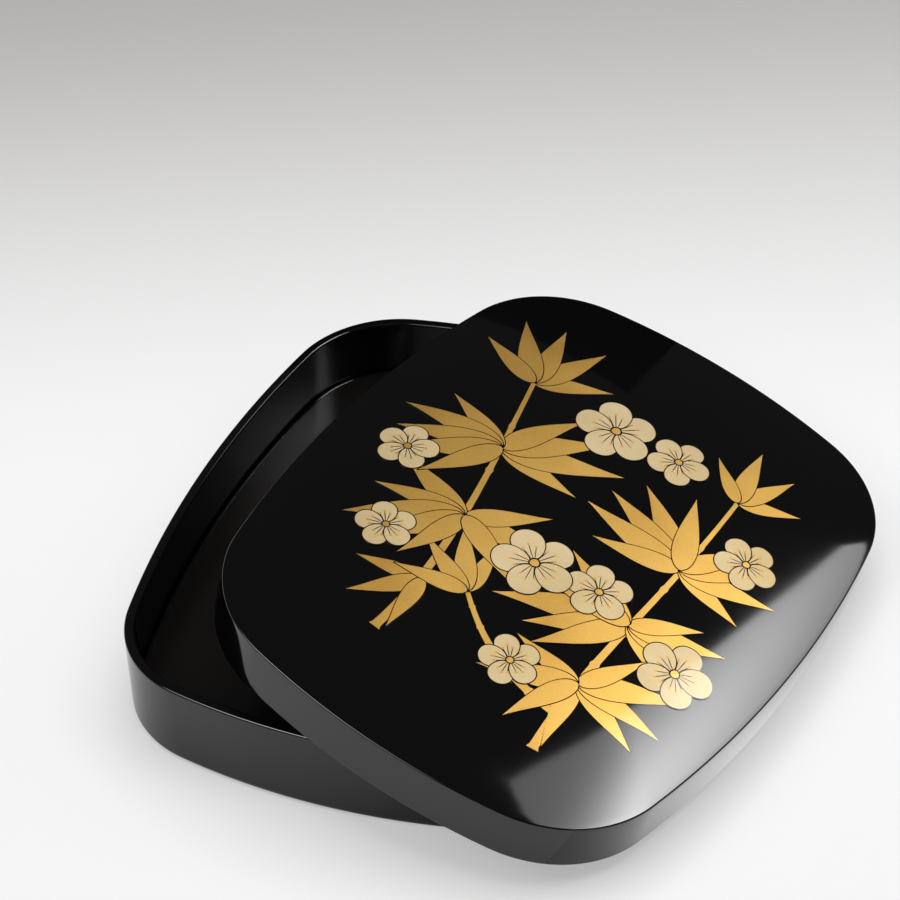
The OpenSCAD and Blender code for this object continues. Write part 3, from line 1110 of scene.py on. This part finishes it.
@dataclass
class Lid:
    """The covering lid: upright skirt, domed crown with a crisp edge, and its gold decoration."""

    outline: BowedOutline
    box_height: float
    wall: float = 3.0
    clearance: float = 1.5
    skirt_depth: float = 20.4
    skirt_round: float = 1.0
    crown_rise: float = 8.0
    crown_thick: float = 3.0
    crown_fullness: float = 3.0
    edge_round: float = 0.55
    edge_share: float = 0.999
    rings: int = 44
    place: LeaningPlace = field(init=False)

    def __post_init__(self) -> None:
        """Works out where the lid lies."""
        self.place = LeaningPlace(self.outline, self.box_height, self.clearance, self.outer)

    @property
    def outer(self) -> float:
        """How far the lid's outer face lies outside the box wall."""
        return self.clearance + self.wall

    def dome(self, share: float) -> float:
        """Height of the crown's top at a share of the way to its edge."""
        return self.skirt_depth + self.crown_rise * (1 - share**self.crown_fullness)

    def skirt(self) -> bpy.types.Object:
        """Makes the upright side.

        Returns:
            The lid's side.
        """
        top = self.skirt_depth - self.crown_thick
        bm = swept_wall(self.outline, [
            Corner(self.outer, 0, self.skirt_round), Corner(self.outer, top),
            Corner(self.clearance, top), Corner(self.clearance, 0, self.skirt_round)])
        return self.finish(bm, "lid_side", "lid_skirt")

    def shrink_rings(self, bm: bmesh.types.BMesh, edges: list[bmesh.types.BMEdge], drop: float) -> None:
        """Draws a dome inwards from a loop at the lid's edge.

        Args:
            bm: The shape.
            edges: The loop.
            drop: How far the dome lies below the crown's top.
        """
        share = 1.0
        for ring in range(1, self.rings):
            smaller = 1 - ring / self.rings
            grown = bmesh.ops.extrude_edge_only(bm, edges=edges)["geom"]
            verts = [g for g in grown if isinstance(g, bmesh.types.BMVert)]
            edges = edges_between(grown, verts)
            bmesh.ops.scale(bm, vec=(smaller / share, smaller / share, 1), verts=verts)
            bmesh.ops.translate(bm, vec=(0, 0, self.dome(smaller) - self.dome(share)), verts=verts)
            share = smaller
        last = dict.fromkeys(v for e in edges for v in e.verts)
        bmesh.ops.pointmerge(bm, verts=list(last), merge_co=(0, 0, self.dome(0) - drop))

    def crown(self) -> bpy.types.Object:
        """Makes the domed top: its edge band, its upper and its under side.

        Returns:
            The lid's top.
        """
        bm = bmesh.new()
        base = self.skirt_depth - self.crown_thick
        lower = self.outline.ring(bm, self.outer, base)
        inner = self.outline.ring(bm, self.clearance, base)
        bmesh.ops.bridge_loops(bm, edges=[*lower, *inner])
        self.shrink_rings(bm, inner, self.crown_thick)
        band = bmesh.ops.extrude_edge_only(bm, edges=lower)["geom"]
        verts = [g for g in band if isinstance(g, bmesh.types.BMVert)]
        bmesh.ops.translate(bm, vec=(0, 0, self.crown_thick), verts=verts)
        arris = edges_between(band, verts)
        self.shrink_rings(bm, arris, 0)
        close_shell(bm)
        on_edge = {v for v in bm.verts if abs(v.co.z - self.skirt_depth) < MERGE_GAP
                   and self.outline.share(v.co.x, v.co.y, self.outer) > self.edge_share}
        arris = [e for e in bm.edges if all(v in on_edge for v in e.verts)]
        bmesh.ops.bevel(
            bm, geom=arris, offset=self.edge_round, offset_type="OFFSET", segments=4, profile=0.5,
            affect="EDGES", material=-1, clamp_overlap=True)
        return self.finish(bm, "lid_dome", "lid_crown")

    def finish(self, bm: bmesh.types.BMesh, name: str, node: str) -> bpy.types.Object:
        """Puts a shell of the lid in its place, standing for its CAD node.

        Args:
            bm: The shell, drawn level.
            name: The piece's name.
            node: The CAD node.

        Returns:
            The piece, riding on the lid.
        """
        piece = finish_mesh(bm, name, Dress.LACQUER, self.place.matrix())
        weigh_normals(piece)
        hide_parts(node)
        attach(piece, "lid")
        return piece

    def build(self) -> list[bpy.types.Object]:
        """Makes the lid's two shells and the decoration."""
        return [self.skirt(), self.crown(), *Decoration(self).build()]


# ---------------------------------------------------------------- decoration


@dataclass(frozen=True)
class Spray:
    """A fan of bamboo leaves that grow from one joint of a stem; angles in degrees."""

    across: float
    up: float
    heading: float
    spread: float
    count: int
    length: float


@dataclass(frozen=True)
class Leaf:
    """One leaf of a spray, on the design's own axes.

    The peak is a power that moves its widest place, and the taper one that sharpens its ends.
    """

    across: float
    up: float
    heading: float
    length: float
    width: float
    bend: float
    peak: float = 0.6
    taper: float = 1.1
    stalk_share: float = 0.07
    least_half: float = 0.02

    def point(self, u: float, v: float, margin: float) -> tuple[float, float]:
        """A point of the leaf.

        Args:
            u: From -1 at its stalk to 1 at its tip.
            v: From -1 to 1 across it.
            margin: How far outside the leaf its edge lies.

        Returns:
            Its place across and up.
        """
        t = (u + 1) / 2
        fullness = max(math.sin(math.pi * min(t, 1) ** self.peak), 0) ** self.taper
        half = self.width / 2 * fullness + self.stalk_half * (1 - t) + margin + self.least_half
        along = t * (self.length + 2 * margin) - margin
        side = v * half + self.bend * t * t
        return (self.across + along * math.cos(self.heading) - side * math.sin(self.heading),
                self.up + along * math.sin(self.heading) + side * math.cos(self.heading))

    @property
    def stalk_half(self) -> float:
        """Half the width of the stalk end."""
        return self.width * self.stalk_share


@dataclass(frozen=True)
class Blossom:
    """A plum blossom.

    Its turn is in degrees and the angle between its stamens in radians. The lengths after its
    number of petals are shares of its radius.
    """

    across: float
    up: float
    radius: float
    turn: float
    petals: int = 5
    petal_reach: float = 0.56
    petal_long: float = 0.45
    petal_wide: float = 0.40
    stamen_reach: float = 0.5
    middle_stamen_reach: float = 0.58
    stamen_angle: float = 0.34
    heart: float = 0.11
    heart_line: float = 0.15


@dataclass
class Decoration:
    """Bamboo and plum in gold and pale powder, laid a hair's breadth proud of the lid.

    Places are given on axes turned to suit the eye of whoever stands before the box. Leaves and
    blossoms that overlap lie on levels of their own, a few layers apart. A wander is how much the
    leaves differ, as a share of their length, and how fast that changes from one to the next.
    """

    lid: Lid
    turn: float = math.radians(40)
    gold_height: float = 0.03
    petal_height: float = 0.16
    layer: float = 0.006
    thickness: float = 0.2
    leaf_width_share: float = 0.235
    leaf_levels: int = 10
    leaf_steps: tuple[int, int] = (26, 6)
    outer_shortening: float = 0.2
    length_wander: tuple[float, float] = (0.07, 2.4)
    bend_wander: tuple[float, float] = (0.1, 1.3)
    gap_width: float = 0.32
    stem_half: float = 1.7
    stem_taper: float = 0.9
    stem_joints: int = 6
    joint_share: float = 0.12
    joint_swell: float = 0.4
    stem_steps: tuple[int, int] = (160, 4)
    line_width: float = 0.42
    blossom_levels: int = 2
    blossom_layers: int = 10
    stamen_half: float = 0.16
    stamen_start: float = 0.5
    anther: float = 0.55
    heart_swell: float = 0.04
    petal_flare: float = 0.14
    oval_steps: int = 12
    stems: tuple[tuple[tuple[float, float], ...], ...] = (
        ((-74, -48), (-46, -20), (-26, 24), (-2, 74)),
        ((-24, -98), (0, -60), (30, -34), (68, 18)),
        ((-14, -84), (-34, -66), (-38, -48), (-40, -30)),
    )
    sprays: tuple[Spray, ...] = (
        Spray(-2, 74, 58, 130, 5, 38), Spray(-19, 38, 160, 90, 5, 42), Spray(-19, 38, -8, 76, 4, 46),
        Spray(-37, 3, 172, 96, 5, 42), Spray(-37, 3, -34, 60, 3, 40), Spray(-55, -27, 196, 80, 3, 30),
        Spray(68, 18, 44, 120, 4, 31), Spray(40, -17, 116, 90, 5, 44), Spray(40, -17, -16, 76, 4, 37),
        Spray(17, -44, 160, 80, 5, 46), Spray(17, -44, -34, 66, 4, 36), Spray(-5, -71, 186, 96, 4, 36),
        Spray(-5, -71, -20, 76, 4, 38), Spray(-40, -32, 104, 100, 4, 32),
    )
    blossoms: tuple[Blossom, ...] = (
        Blossom(26, 50, 15.5, 10), Blossom(48, 36, 12.0, 40), Blossom(-54, 38, 11.5, 60),
        Blossom(-14, -18, 15.5, 25), Blossom(8, -30, 12.5, 5), Blossom(31, -64, 14.0, 50),
        Blossom(-66, -2, 11.0, 15), Blossom(66, -12, 12.0, 33), Blossom(-28, -62, 11.0, 20),
    )

    def on_lid(self, across: float, up: float, height: float) -> Vector:
        """A point of the design on the lid's top.

        Args:
            across: Place to the right as seen from the front.
            up: Place away from the viewer.
            height: Height above the lacquer.

        Returns:
            The point in the lid's own place.
        """
        x = across * math.cos(self.turn) - up * math.sin(self.turn)
        y = across * math.sin(self.turn) + up * math.cos(self.turn)
        share = self.lid.outline.share(x, y, self.lid.outer)
        return Vector((x, y, self.lid.dome(share) + height))

    def patch(self, bm: bmesh.types.BMesh, shape: Shape, long_steps: int, cross_steps: int) -> None:
        """Lays a patch of the design on the lid.

        Args:
            bm: The mesh to add it to.
            shape: Gives the patch its form.
            long_steps: Steps along the first value.
            cross_steps: Steps along the second.
        """
        made = bmesh.ops.create_grid(bm, x_segments=long_steps, y_segments=cross_steps, size=1)
        for vert in made["verts"]:
            vert.co = self.on_lid(*shape(vert.co.x, vert.co.y))

    def leaves(self) -> list[Leaf]:
        """All leaves of all sprays.

        Returns:
            The leaves, each a little different from the one before it.
        """
        made = []
        vary, vary_rate = self.length_wander
        bend, bend_rate = self.bend_wander
        for spray in self.sprays:
            for index in range(spray.count):
                off = 2 * index / max(spray.count - 1, 1) - 1
                order = len(made)
                length = spray.length * (
                    1 - self.outer_shortening * abs(off) + vary * math.sin(vary_rate * order))
                made.append(Leaf(
                    spray.across, spray.up, math.radians(spray.heading + spray.spread / 2 * off),
                    length, self.leaf_width_share * length,
                    bend * length * math.sin(bend_rate * order)))
        return made

    def leaf(self, gold: bmesh.types.BMesh, gaps: bmesh.types.BMesh, leaf: Leaf, level: int) -> None:
        """Adds a leaf, and under it the dark gap that parts it from the leaf below.

        Args:
            gold: The mesh of the gold.
            gaps: The mesh of the dark gaps.
            leaf: The leaf.
            level: Its level, counted from the lacquer.
        """
        height = self.gold_height + 2 * self.layer * level

        def gilt(u: float, v: float) -> tuple[float, float, float]:
            """A point of the gold."""
            return *leaf.point(u, v, 0), height + self.layer

        def gap(u: float, v: float) -> tuple[float, float, float]:
            """A point of the dark gap."""
            return *leaf.point(u, v, self.gap_width), height

        self.patch(gold, gilt, *self.leaf_steps)
        self.patch(gaps, gap, *self.leaf_steps)

    def stem(self, bm: bmesh.types.BMesh, knots: tuple[tuple[float, float], ...]) -> None:
        """Adds a stem along a smooth curve, thicker at its joints and thinner towards its tip.

        Args:
            bm: The mesh to add it to.
            knots: Its two ends and, between them, the two points that bend it.
        """
        a, b, c, d = (Vector(k) for k in knots)
        step = 0.01

        def curve(t: float) -> Vector:
            """A point of the stem's middle line, t from 0 to 1."""
            s = 1 - t
            return a * s**3 + b * 3 * s * s * t + c * 3 * s * t * t + d * t**3

        def shape(u: float, v: float) -> tuple[float, float, float]:
            """A point of the stem.

            Args:
                u: From -1 at its root to 1 at its tip.
                v: From -1 to 1 across it.

            Returns:
                Its place across, up and above the lacquer.
            """
            t = (u + 1) / 2
            point = curve(t)
            ahead = (curve(min(t + step, 1)) - curve(max(t - step, 0))).normalized()
            from_middle = abs((t * self.stem_joints) % 1 - 0.5) * 2
            at_joint = max(from_middle - (1 - self.joint_share), 0) / self.joint_share
            half = (self.stem_half - self.stem_taper * t) * (1 + self.joint_swell * at_joint)
            return point.x - ahead.y * v * half, point.y + ahead.x * v * half, self.gold_height

        self.patch(bm, shape, *self.stem_steps)

    def oval(
        self, bm: bmesh.types.BMesh, middle: Vector, size: tuple[float, float], heading: float,
        height: float, swell: float = 0.0,
    ) -> None:
        """Adds an oval patch, fuller at its far end as a petal is.

        Args:
            bm: The mesh to add it to.
            middle: Its middle on the design's axes.
            size: Half its length along the heading and half its width.
            heading: Direction that it points in.
            height: Height of its rim above the lacquer.
            swell: How much higher its middle is.
        """
        long_half, wide_half = size

        def shape(u: float, v: float) -> tuple[float, float, float]:
            """A point of the oval: the square of u and v pressed into a disc.

            Args:
                u: From -1 to 1 along it.
                v: From -1 to 1 across it.

            Returns:
                Its place across, up and above the lacquer.
            """
            x, y = u * math.sqrt(1 - v * v / 2), v * math.sqrt(1 - u * u / 2)
            along, side = x * long_half, y * wide_half * (1 + self.petal_flare * x)
            return (middle.x + along * math.cos(heading) - side * math.sin(heading),
                    middle.y + along * math.sin(heading) + side * math.cos(heading),
                    height + swell * (1 - x * x - y * y))

        self.patch(bm, shape, self.oval_steps, self.oval_steps)

    def blossom(
        self, powder: bmesh.types.BMesh, lines: bmesh.types.BMesh, hearts: bmesh.types.BMesh,
        blossom: Blossom, level: int,
    ) -> None:
        """Adds a blossom: its petals, each on its dark line, a golden heart and stamens.

        Args:
            powder: The mesh of the pale powder.
            lines: The mesh of the drawn lines.
            hearts: The mesh of the golden hearts.
            blossom: The blossom.
            level: Its level, counted from the lacquer.
        """
        base = self.petal_height + self.blossom_layers * self.layer * level
        centre = Vector((blossom.across, blossom.up))
        radius = blossom.radius
        above = base + (self.blossom_layers + 1) * self.layer
        for petal in range(blossom.petals):
            heading = math.radians(blossom.turn + 360 / blossom.petals * petal)
            middle = centre + radius * blossom.petal_reach * Vector((math.cos(heading), math.sin(heading)))
            size = (radius * blossom.petal_long, radius * blossom.petal_wide)
            height = base + 2 * self.layer * petal
            backing = (size[0] + self.line_width, size[1] + self.line_width)
            self.oval(lines, middle, backing, heading, height)
            self.oval(powder, middle, size, heading, height + self.layer)
            for side in (-1, 0, 1):
                ray = heading + side * blossom.stamen_angle
                unit = Vector((math.cos(ray), math.sin(ray)))
                tip = radius * (blossom.stamen_reach if side else blossom.middle_stamen_reach)
                thread = (tip / 2, self.stamen_half)
                self.oval(lines, centre + unit * (tip / 2 + self.stamen_start), thread, ray, above)
                self.oval(hearts, centre + unit * tip, (self.anther,) * 2, ray, above + self.layer)
        self.oval(lines, centre, (radius * blossom.heart_line,) * 2, 0, above + 2 * self.layer)
        self.oval(
            hearts, centre, (radius * blossom.heart,) * 2, 0, above + 3 * self.layer, self.heart_swell)

    def finish(self, bm: bmesh.types.BMesh, name: str, dress: Dress) -> bpy.types.Object:
        """Gives a part of the decoration its thickness and lets it ride on the lid.

        Args:
            bm: The part, drawn level.
            name: The piece's name.
            dress: Its finish.

        Returns:
            The piece.
        """
        bmesh.ops.recalc_face_normals(bm, faces=bm.faces)
        upside_down = [f for f in bm.faces if f.normal.z < 0]
        bmesh.ops.reverse_faces(bm, faces=upside_down)
        bmesh.ops.solidify(bm, geom=[*bm.faces, *bm.edges, *bm.verts], thickness=self.thickness)
        bmesh.ops.recalc_face_normals(bm, faces=bm.faces)
        piece = finish_mesh(bm, name, dress, self.lid.place.matrix())
        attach(piece, "lid")
        return piece

    def build(self) -> list[bpy.types.Object]:
        """Makes stems, leaves and blossoms.

        Returns:
            The decoration's pieces.
        """
        gold, gaps, powder, lines, hearts = (bmesh.new() for _ in range(5))
        for knots in self.stems:
            self.stem(gold, knots)
        for order, leaf in enumerate(self.leaves()):
            self.leaf(gold, gaps, leaf, order % self.leaf_levels)
        for order, blossom in enumerate(self.blossoms):
            self.blossom(powder, lines, hearts, blossom, order % self.blossom_levels)
        return [
            self.finish(gold, "gold_bamboo", Dress.GOLD),
            self.finish(gaps, "leaf_gaps", Dress.LACQUER),
            self.finish(powder, "pale_petals", Dress.PETAL),
            self.finish(lines, "petal_lines", Dress.DRAWN_LINE),
            self.finish(hearts, "gold_stamens", Dress.GOLD)]


# ---------------------------------------------------------------- studio


# What the lamps and the key softbox look at, in millimetres.
LID_MIDDLE = (30, 0, 40)


@dataclass(frozen=True)
class View:
    """A direction and a roll from which something looks at a target; angles in degrees.

    The azimuth is counted from behind the box towards its right side.
    """

    azimuth: float
    elevation: float
    distance: float
    target: tuple[float, float, float]
    roll: float = 0.0

    def matrix(self, shift: tuple[float, float] = (0.0, 0.0)) -> Matrix:
        """Where it stands, in metres, with its Z axis pointing away from the target.

        Args:
            shift: How far it is moved along its own X and Y, in millimetres.

        Returns:
            A 4x4 matrix.
        """
        a, e, roll = (math.radians(v) for v in (self.azimuth, self.elevation, self.roll))
        back = Vector((math.sin(a) * math.cos(e), math.cos(a) * math.cos(e), math.sin(e)))
        level = Vector((-math.cos(a), math.sin(a), 0))
        rise = back.cross(level)
        right = level * math.cos(roll) + rise * math.sin(roll)
        up = rise * math.cos(roll) - level * math.sin(roll)
        place = Vector(self.target) + back * self.distance + right * shift[0] + up * shift[1]
        return Matrix.Translation(place * MM) @ Matrix((right, up, back)).transposed().to_4x4()


@dataclass(frozen=True)
class Lamp:
    """A soft rectangular lamp that only lights what is matt, so that lacquer doesn't mirror it."""

    name: str
    view: View
    size: tuple[float, float]
    radiance: float

    def build(self) -> None:
        """Hangs the lamp."""
        lamp = bpy.data.lights.new(self.name, "AREA")
        lamp.shape = "RECTANGLE"
        lamp.size, lamp.size_y = (side * MM for side in self.size)
        lamp.energy = self.radiance * math.pi * lamp.size * lamp.size_y
        holder = bpy.data.objects.new(self.name, lamp)
        holder.matrix_world = self.view.matrix()
        holder.visible_camera = False
        holder.visible_glossy = False
        bpy.context.scene.collection.objects.link(holder)


@dataclass(frozen=True)
class MirroredPanel:
    """A panel that only lacquer and metal mirror; camera, shadows and matt surfaces don't see it."""

    name: str
    view: View
    shift: tuple[float, float]
    size: tuple[float, float]

    def finish(self) -> Finish:
        """What the panel is made of: black card, unless a kind of panel says otherwise."""
        return BlackCard(self.name)

    def build(self) -> None:
        """Hangs the panel."""
        bm = bmesh.new()
        bmesh.ops.create_grid(bm, x_segments=1, y_segments=1, size=1)
        bmesh.ops.scale(bm, vec=(self.size[0] / 2 * MM, self.size[1] / 2 * MM, 1), verts=bm.verts)
        bmesh.ops.transform(bm, matrix=self.view.matrix(self.shift), verts=bm.verts)
        mesh = bpy.data.meshes.new(self.name)
        bm.to_mesh(mesh)
        bm.free()
        mesh.materials.append(self.finish().build())
        panel = bpy.data.objects.new(self.name, mesh)
        panel.visible_camera = False
        panel.visible_diffuse = False
        panel.visible_shadow = False
        bpy.context.scene.collection.objects.link(panel)


@dataclass(frozen=True)
class Softbox(MirroredPanel):
    """A softbox: its cloth glows least at its edges and most in a long spot.

    The spot's place is counted from the view's axis, its turn is in degrees, and its reach is
    where the glow has fallen to a third.
    """

    spot: tuple[float, float]
    spot_turn: float
    spot_reach: tuple[float, float]
    dim: float
    bright: float

    def finish(self) -> Finish:
        """The glowing cloth.

        Returns:
            Its finish.
        """
        middle = self.view.matrix(self.spot)
        turned_spot = middle @ Matrix.Rotation(math.radians(self.spot_turn), 4, "Z")
        return SoftboxCloth(
            self.name, spot=tuple(middle.translation), rotation=tuple(turned_spot.to_euler()),
            reach=tuple(side * MM for side in self.spot_reach), dim=self.dim, bright=self.bright)


@dataclass
class Studio:
    """White paper, soft lamps, mirrored panels, a dim room and the camera."""

    camera_view: View = View(180 - 23.17, 39.83, 1239.6, (-22.42, 78.76, 0.0), roll=-2.59)
    focal_px: float = 3128.8
    image_px: int = 900
    sensor_mm: float = 36.0
    paper_half: float = 9000.0
    room_colour: str = "#404040"
    panels: tuple[MirroredPanel, ...] = (
        Softbox(
            "key_softbox", View(44.1, 50.5, 1300, LID_MIDDLE, roll=8.6), (-169, -30), (600, 970),
            spot=(-390, 200), spot_turn=43, spot_reach=(185, 641), dim=2.4, bright=17.8),
        Softbox(
            "front_softbox", View(-148, 49, 1500, (-60, -80, 40)), (0, 0), (1250, 680),
            spot=(0, 0), spot_turn=0, spot_reach=(520, 290), dim=0.4, bright=12.0),
        Softbox(
            "right_reflector", View(9.5, 90, 0.1, (143, -10, 0)), (0, 0), (90, 260),
            spot=(0, 48), spot_turn=0, spot_reach=(13, 62), dim=0.62, bright=1.1),
        MirroredPanel("black_card", View(0, 0, 150, (-95, 0, 52)), (0, 0), (310, 110)),
    )
    lamps: tuple[Lamp, ...] = (
        Lamp("overhead_lamp", View(20, 80, 1500, LID_MIDDLE), (1500, 1500), 3.0),
        Lamp("right_lamp", View(72, 42, 1500, LID_MIDDLE), (900, 900), 1.6),
        Lamp("front_lamp", View(225, 50, 1700, LID_MIDDLE), (1300, 800), 2.5),
    )

    def camera(self) -> None:
        """Puts the camera where the photograph was taken from."""
        data = bpy.data.cameras.new("camera")
        data.sensor_width = self.sensor_mm
        data.lens = self.focal_px * self.sensor_mm / self.image_px
        data.clip_start, data.clip_end = 0.05, 50
        camera = bpy.data.objects.new("camera", data)
        camera.matrix_world = self.camera_view.matrix()
        bpy.context.scene.collection.objects.link(camera)
        bpy.context.scene.camera = camera

    def paper(self) -> None:
        """Lays the white paper under the box."""
        bm = bmesh.new()
        bmesh.ops.create_grid(bm, x_segments=1, y_segments=1, size=self.paper_half * MM)
        mesh = bpy.data.meshes.new("white_paper")
        bm.to_mesh(mesh)
        bm.free()
        turn = math.radians(180 - self.camera_view.azimuth)
        mesh.materials.append(PaperSweep("matt_white_paper", turn=turn).build())
        paper = bpy.data.objects.new("white_paper", mesh)
        bpy.context.scene.collection.objects.link(paper)

    def room(self) -> None:
        """Makes the dim grey room that the lacquer mirrors."""
        world = bpy.data.worlds.new("dim_room")
        world.use_nodes = True
        world.node_tree.nodes.clear()
        glow = add(world.node_tree, "ShaderNodeBackground", {
            "Color": linear(self.room_colour), "Strength": 1.0})
        add(world.node_tree, "ShaderNodeOutputWorld", {"Surface": glow.outputs[0]})
        bpy.context.scene.world = world

    def build(self) -> None:
        """Sets up the whole studio."""
        self.camera()
        self.paper()
        self.room()
        for part in (*self.panels, *self.lamps):
            part.build()
        bpy.context.scene.view_settings.view_transform = "Standard"


# ---------------------------------------------------------------- assembly


def main() -> None:
    """Builds the writing box around its frame."""
    logging.basicConfig(level=logging.INFO, format="%(name)s: %(message)s")
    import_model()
    Studio().build()

    wall_low, wall_high = (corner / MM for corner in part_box("box_wall"))
    outline = BowedOutline(width=wall_high.x - wall_low.x, length=wall_high.y - wall_low.y)
    box_height = wall_high.z - wall_low.z

    box = BoxBody(outline, box_height)
    pieces = box.build()
    pieces += [fitting.build() for fitting in FITTINGS]
    pieces.append(BoardBead(outline, box.wall).build())
    for brush in (Brush("wide", tuft_ridges=13), Brush("fine", tuft_ridges=9)):
        pieces += brush.build()
    pieces += Lid(outline, box_height).build()
    for piece in pieces:
        LOG.info("%s: %d points", piece.name, len(piece.data.vertices))


if __name__ == "__main__":
    main()
